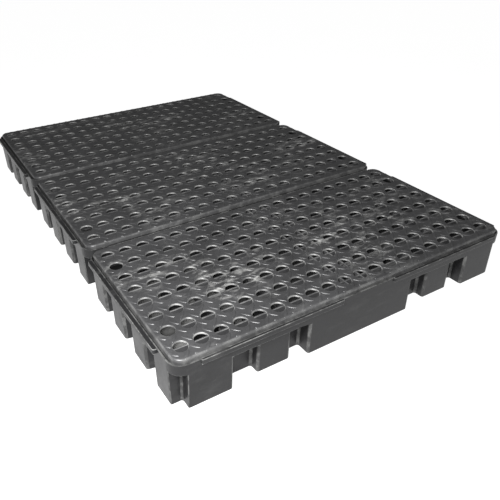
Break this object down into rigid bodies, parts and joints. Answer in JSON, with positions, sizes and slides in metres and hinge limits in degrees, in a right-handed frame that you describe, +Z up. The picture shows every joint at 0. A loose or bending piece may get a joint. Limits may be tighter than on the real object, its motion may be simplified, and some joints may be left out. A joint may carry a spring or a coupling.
{
  "type": "spill containment deck",
  "caption": "Low modular spill containment deck: moulded sump trays set side by side, each covered by a lift-out perforated anti-slip grate.",
  "frame": {"origin": "centre of the footprint, on the floor", "axes": "+X along the long side of a module, +Y across the row of modules from front to rear, +Z up"},
  "size_m": [1.27, 1.853, 0.165],
  "materials": {
    "sump_polyethylene": "satin black moulded polyethylene, lightly scuffed",
    "grate_polyethylene": "satin black moulded polyethylene, scuffed grey where drums slide"
  },
  "bodies": {
    "sumps": {"front_sump_floor": "sump_polyethylene", "front_sump_posts": "sump_polyethylene", "front_sump_front_wall": "sump_polyethylene", "front_sump_back_wall": "sump_polyethylene", "front_sump_left_wall": "sump_polyethylene", "front_sump_right_wall": "sump_polyethylene", "middle_sump_floor": "sump_polyethylene", "middle_sump_posts": "sump_polyethylene", "middle_sump_front_wall": "sump_polyethylene", "middle_sump_back_wall": "sump_polyethylene", "middle_sump_left_wall": "sump_polyethylene", "middle_sump_right_wall": "sump_polyethylene", "rear_sump_floor": "sump_polyethylene", "rear_sump_posts": "sump_polyethylene", "rear_sump_front_wall": "sump_polyethylene", "rear_sump_back_wall": "sump_polyethylene", "rear_sump_left_wall": "sump_polyethylene", "rear_sump_right_wall": "sump_polyethylene"},
    "front_grate": {"grate_front": "grate_polyethylene"},
    "middle_grate": {"grate_middle": "grate_polyethylene"},
    "rear_grate": {"grate_rear": "grate_polyethylene"}
  },
  "joints": [
    {"name": "front_grate_lift", "type": "slide", "parent": "sumps", "child": "front_grate", "axis": [0, 0, 1], "range_m": [0, 0.2]},
    {"name": "middle_grate_lift", "type": "slide", "parent": "sumps", "child": "middle_grate", "axis": [0, 0, 1], "range_m": [0, 0.2]},
    {"name": "rear_grate_lift", "type": "slide", "parent": "sumps", "child": "rear_grate", "axis": [0, 0, 1], "range_m": [0, 0.2]}
  ]
}
